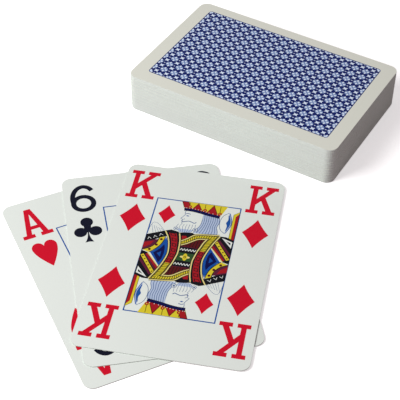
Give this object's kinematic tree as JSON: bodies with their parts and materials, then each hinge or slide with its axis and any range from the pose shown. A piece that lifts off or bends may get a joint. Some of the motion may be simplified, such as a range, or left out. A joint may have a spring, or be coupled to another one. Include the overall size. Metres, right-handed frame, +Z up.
{
  "type": "playing card deck",
  "caption": "Squared face-down stack of round-cornered playing cards with a small fan of face-up cards in front of it; cards slide off the stack and the fan opens and closes.",
  "frame": {"origin": "middle of the underside of the stack, on the table", "axes": "+X along the length of the stacked cards, +Y across them and away from the fan, +Z up from the table"},
  "size_m": [0.1092, 0.1794, 0.0158],
  "materials": {
    "card_stock": "satin"
  },
  "bodies": {
    "ace_of_clubs": {"ace_of_clubs": "card_stock"},
    "two_of_clubs": {"two_of_clubs": "card_stock"},
    "three_of_clubs": {"three_of_clubs": "card_stock"},
    "four_of_clubs": {"four_of_clubs": "card_stock"},
    "five_of_clubs": {"five_of_clubs": "card_stock"},
    "seven_of_clubs": {"seven_of_clubs": "card_stock"},
    "eight_of_clubs": {"eight_of_clubs": "card_stock"},
    "nine_of_clubs": {"nine_of_clubs": "card_stock"},
    "ten_of_clubs": {"ten_of_clubs": "card_stock"},
    "jack_of_clubs": {"jack_of_clubs": "card_stock"},
    "queen_of_clubs": {"queen_of_clubs": "card_stock"},
    "king_of_clubs": {"king_of_clubs": "card_stock"},
    "ace_of_diamonds": {"ace_of_diamonds": "card_stock"},
    "two_of_diamonds": {"two_of_diamonds": "card_stock"},
    "three_of_diamonds": {"three_of_diamonds": "card_stock"},
    "four_of_diamonds": {"four_of_diamonds": "card_stock"},
    "five_of_diamonds": {"five_of_diamonds": "card_stock"},
    "six_of_diamonds": {"six_of_diamonds": "card_stock"},
    "seven_of_diamonds": {"seven_of_diamonds": "card_stock"},
    "eight_of_diamonds": {"eight_of_diamonds": "card_stock"},
    "nine_of_diamonds": {"nine_of_diamonds": "card_stock"},
    "ten_of_diamonds": {"ten_of_diamonds": "card_stock"},
    "jack_of_diamonds": {"jack_of_diamonds": "card_stock"},
    "queen_of_diamonds": {"queen_of_diamonds": "card_stock"},
    "two_of_hearts": {"two_of_hearts": "card_stock"},
    "three_of_hearts": {"three_of_hearts": "card_stock"},
    "four_of_hearts": {"four_of_hearts": "card_stock"},
    "five_of_hearts": {"five_of_hearts": "card_stock"},
    "six_of_hearts": {"six_of_hearts": "card_stock"},
    "seven_of_hearts": {"seven_of_hearts": "card_stock"},
    "eight_of_hearts": {"eight_of_hearts": "card_stock"},
    "nine_of_hearts": {"nine_of_hearts": "card_stock"},
    "ten_of_hearts": {"ten_of_hearts": "card_stock"},
    "jack_of_hearts": {"jack_of_hearts": "card_stock"},
    "queen_of_hearts": {"queen_of_hearts": "card_stock"},
    "king_of_hearts": {"king_of_hearts": "card_stock"},
    "ace_of_spades": {"ace_of_spades": "card_stock"},
    "two_of_spades": {"two_of_spades": "card_stock"},
    "three_of_spades": {"three_of_spades": "card_stock"},
    "four_of_spades": {"four_of_spades": "card_stock"},
    "five_of_spades": {"five_of_spades": "card_stock"},
    "six_of_spades": {"six_of_spades": "card_stock"},
    "seven_of_spades": {"seven_of_spades": "card_stock"},
    "eight_of_spades": {"eight_of_spades": "card_stock"},
    "nine_of_spades": {"nine_of_spades": "card_stock"},
    "ten_of_spades": {"ten_of_spades": "card_stock"},
    "jack_of_spades": {"jack_of_spades": "card_stock"},
    "queen_of_spades": {"queen_of_spades": "card_stock"},
    "king_of_spades": {"king_of_spades": "card_stock"},
    "red_joker": {"red_joker": "card_stock"},
    "black_joker": {"black_joker": "card_stock"},
    "ace_of_hearts": {"ace_of_hearts": "card_stock"},
    "six_of_clubs": {"six_of_clubs": "card_stock"},
    "king_of_diamonds": {"king_of_diamonds": "card_stock"}
  },
  "joints": [
    {"name": "close_king_on_six", "type": "hinge", "parent": "six_of_clubs", "child": "king_of_diamonds", "pos_m": [0.0304, -0.12039, 0.00062], "axis": [0, 0, 1], "range_deg": [-30, 20.3]},
    {"name": "close_six_on_ace", "type": "hinge", "parent": "ace_of_hearts", "child": "six_of_clubs", "pos_m": [0.0304, -0.12039, 0.00031], "axis": [0, 0, 1], "range_deg": [-30, 14.8]},
    {"name": "carry_fan", "type": "slide", "parent": "ace_of_clubs", "child": "ace_of_hearts", "axis": [-1, 0, 0], "range_m": [-0.04, 0.04]},
    {"name": "draw_black_joker", "type": "slide", "parent": "ace_of_clubs", "child": "black_joker", "axis": [-1, 0, 0], "range_m": [-0.092, 0.092]},
    {"name": "draw_red_joker", "type": "slide", "parent": "ace_of_clubs", "child": "red_joker", "axis": [-1, 0, 0], "range_m": [-0.092, 0.092]},
    {"name": "draw_king_of_spades", "type": "slide", "parent": "ace_of_clubs", "child": "king_of_spades", "axis": [-1, 0, 0], "range_m": [-0.092, 0.092]},
    {"name": "draw_queen_of_spades", "type": "slide", "parent": "ace_of_clubs", "child": "queen_of_spades", "axis": [-1, 0, 0], "range_m": [-0.092, 0.092]},
    {"name": "draw_jack_of_spades", "type": "slide", "parent": "ace_of_clubs", "child": "jack_of_spades", "axis": [-1, 0, 0], "range_m": [-0.092, 0.092]},
    {"name": "draw_ten_of_spades", "type": "slide", "parent": "ace_of_clubs", "child": "ten_of_spades", "axis": [-1, 0, 0], "range_m": [-0.092, 0.092]},
    {"name": "draw_nine_of_spades", "type": "slide", "parent": "ace_of_clubs", "child": "nine_of_spades", "axis": [-1, 0, 0], "range_m": [-0.092, 0.092]},
    {"name": "draw_eight_of_spades", "type": "slide", "parent": "ace_of_clubs", "child": "eight_of_spades", "axis": [-1, 0, 0], "range_m": [-0.092, 0.092]},
    {"name": "draw_seven_of_spades", "type": "slide", "parent": "ace_of_clubs", "child": "seven_of_spades", "axis": [-1, 0, 0], "range_m": [-0.092, 0.092]},
    {"name": "draw_six_of_spades", "type": "slide", "parent": "ace_of_clubs", "child": "six_of_spades", "axis": [-1, 0, 0], "range_m": [-0.092, 0.092]},
    {"name": "draw_five_of_spades", "type": "slide", "parent": "ace_of_clubs", "child": "five_of_spades", "axis": [-1, 0, 0], "range_m": [-0.092, 0.092]},
    {"name": "draw_four_of_spades", "type": "slide", "parent": "ace_of_clubs", "child": "four_of_spades", "axis": [-1, 0, 0], "range_m": [-0.092, 0.092]},
    {"name": "draw_three_of_spades", "type": "slide", "parent": "ace_of_clubs", "child": "three_of_spades", "axis": [-1, 0, 0], "range_m": [-0.092, 0.092]},
    {"name": "draw_two_of_spades", "type": "slide", "parent": "ace_of_clubs", "child": "two_of_spades", "axis": [-1, 0, 0], "range_m": [-0.092, 0.092]},
    {"name": "draw_ace_of_spades", "type": "slide", "parent": "ace_of_clubs", "child": "ace_of_spades", "axis": [-1, 0, 0], "range_m": [-0.092, 0.092]},
    {"name": "draw_king_of_hearts", "type": "slide", "parent": "ace_of_clubs", "child": "king_of_hearts", "axis": [-1, 0, 0], "range_m": [-0.092, 0.092]},
    {"name": "draw_queen_of_hearts", "type": "slide", "parent": "ace_of_clubs", "child": "queen_of_hearts", "axis": [-1, 0, 0], "range_m": [-0.092, 0.092]},
    {"name": "draw_jack_of_hearts", "type": "slide", "parent": "ace_of_clubs", "child": "jack_of_hearts", "axis": [-1, 0, 0], "range_m": [-0.092, 0.092]},
    {"name": "draw_ten_of_hearts", "type": "slide", "parent": "ace_of_clubs", "child": "ten_of_hearts", "axis": [-1, 0, 0], "range_m": [-0.092, 0.092]},
    {"name": "draw_nine_of_hearts", "type": "slide", "parent": "ace_of_clubs", "child": "nine_of_hearts", "axis": [-1, 0, 0], "range_m": [-0.092, 0.092]},
    {"name": "draw_eight_of_hearts", "type": "slide", "parent": "ace_of_clubs", "child": "eight_of_hearts", "axis": [-1, 0, 0], "range_m": [-0.092, 0.092]},
    {"name": "draw_seven_of_hearts", "type": "slide", "parent": "ace_of_clubs", "child": "seven_of_hearts", "axis": [-1, 0, 0], "range_m": [-0.092, 0.092]},
    {"name": "draw_six_of_hearts", "type": "slide", "parent": "ace_of_clubs", "child": "six_of_hearts", "axis": [-1, 0, 0], "range_m": [-0.092, 0.092]},
    {"name": "draw_five_of_hearts", "type": "slide", "parent": "ace_of_clubs", "child": "five_of_hearts", "axis": [-1, 0, 0], "range_m": [-0.092, 0.092]},
    {"name": "draw_four_of_hearts", "type": "slide", "parent": "ace_of_clubs", "child": "four_of_hearts", "axis": [-1, 0, 0], "range_m": [-0.092, 0.092]},
    {"name": "draw_three_of_hearts", "type": "slide", "parent": "ace_of_clubs", "child": "three_of_hearts", "axis": [-1, 0, 0], "range_m": [-0.092, 0.092]},
    {"name": "draw_two_of_hearts", "type": "slide", "parent": "ace_of_clubs", "child": "two_of_hearts", "axis": [-1, 0, 0], "range_m": [-0.092, 0.092]},
    {"name": "draw_queen_of_diamonds", "type": "slide", "parent": "ace_of_clubs", "child": "queen_of_diamonds", "axis": [-1, 0, 0], "range_m": [-0.092, 0.092]},
    {"name": "draw_jack_of_diamonds", "type": "slide", "parent": "ace_of_clubs", "child": "jack_of_diamonds", "axis": [-1, 0, 0], "range_m": [-0.092, 0.092]},
    {"name": "draw_ten_of_diamonds", "type": "slide", "parent": "ace_of_clubs", "child": "ten_of_diamonds", "axis": [-1, 0, 0], "range_m": [-0.092, 0.092]},
    {"name": "draw_nine_of_diamonds", "type": "slide", "parent": "ace_of_clubs", "child": "nine_of_diamonds", "axis": [-1, 0, 0], "range_m": [-0.092, 0.092]},
    {"name": "draw_eight_of_diamonds", "type": "slide", "parent": "ace_of_clubs", "child": "eight_of_diamonds", "axis": [-1, 0, 0], "range_m": [-0.092, 0.092]},
    {"name": "draw_seven_of_diamonds", "type": "slide", "parent": "ace_of_clubs", "child": "seven_of_diamonds", "axis": [-1, 0, 0], "range_m": [-0.092, 0.092]},
    {"name": "draw_six_of_diamonds", "type": "slide", "parent": "ace_of_clubs", "child": "six_of_diamonds", "axis": [-1, 0, 0], "range_m": [-0.092, 0.092]},
    {"name": "draw_five_of_diamonds", "type": "slide", "parent": "ace_of_clubs", "child": "five_of_diamonds", "axis": [-1, 0, 0], "range_m": [-0.092, 0.092]},
    {"name": "draw_four_of_diamonds", "type": "slide", "parent": "ace_of_clubs", "child": "four_of_diamonds", "axis": [-1, 0, 0], "range_m": [-0.092, 0.092]},
    {"name": "draw_three_of_diamonds", "type": "slide", "parent": "ace_of_clubs", "child": "three_of_diamonds", "axis": [-1, 0, 0], "range_m": [-0.092, 0.092]},
    {"name": "draw_two_of_diamonds", "type": "slide", "parent": "ace_of_clubs", "child": "two_of_diamonds", "axis": [-1, 0, 0], "range_m": [-0.092, 0.092]},
    {"name": "draw_ace_of_diamonds", "type": "slide", "parent": "ace_of_clubs", "child": "ace_of_diamonds", "axis": [-1, 0, 0], "range_m": [-0.092, 0.092]},
    {"name": "draw_king_of_clubs", "type": "slide", "parent": "ace_of_clubs", "child": "king_of_clubs", "axis": [-1, 0, 0], "range_m": [-0.092, 0.092]},
    {"name": "draw_queen_of_clubs", "type": "slide", "parent": "ace_of_clubs", "child": "queen_of_clubs", "axis": [-1, 0, 0], "range_m": [-0.092, 0.092]},
    {"name": "draw_jack_of_clubs", "type": "slide", "parent": "ace_of_clubs", "child": "jack_of_clubs", "axis": [-1, 0, 0], "range_m": [-0.092, 0.092]},
    {"name": "draw_ten_of_clubs", "type": "slide", "parent": "ace_of_clubs", "child": "ten_of_clubs", "axis": [-1, 0, 0], "range_m": [-0.092, 0.092]},
    {"name": "draw_nine_of_clubs", "type": "slide", "parent": "ace_of_clubs", "child": "nine_of_clubs", "axis": [-1, 0, 0], "range_m": [-0.092, 0.092]},
    {"name": "draw_eight_of_clubs", "type": "slide", "parent": "ace_of_clubs", "child": "eight_of_clubs", "axis": [-1, 0, 0], "range_m": [-0.092, 0.092]},
    {"name": "draw_seven_of_clubs", "type": "slide", "parent": "ace_of_clubs", "child": "seven_of_clubs", "axis": [-1, 0, 0], "range_m": [-0.092, 0.092]},
    {"name": "draw_five_of_clubs", "type": "slide", "parent": "ace_of_clubs", "child": "five_of_clubs", "axis": [-1, 0, 0], "range_m": [-0.092, 0.092]},
    {"name": "draw_four_of_clubs", "type": "slide", "parent": "ace_of_clubs", "child": "four_of_clubs", "axis": [-1, 0, 0], "range_m": [-0.092, 0.092]},
    {"name": "draw_three_of_clubs", "type": "slide", "parent": "ace_of_clubs", "child": "three_of_clubs", "axis": [-1, 0, 0], "range_m": [-0.092, 0.092]},
    {"name": "draw_two_of_clubs", "type": "slide", "parent": "ace_of_clubs", "child": "two_of_clubs", "axis": [-1, 0, 0], "range_m": [-0.092, 0.092]}
  ]
}
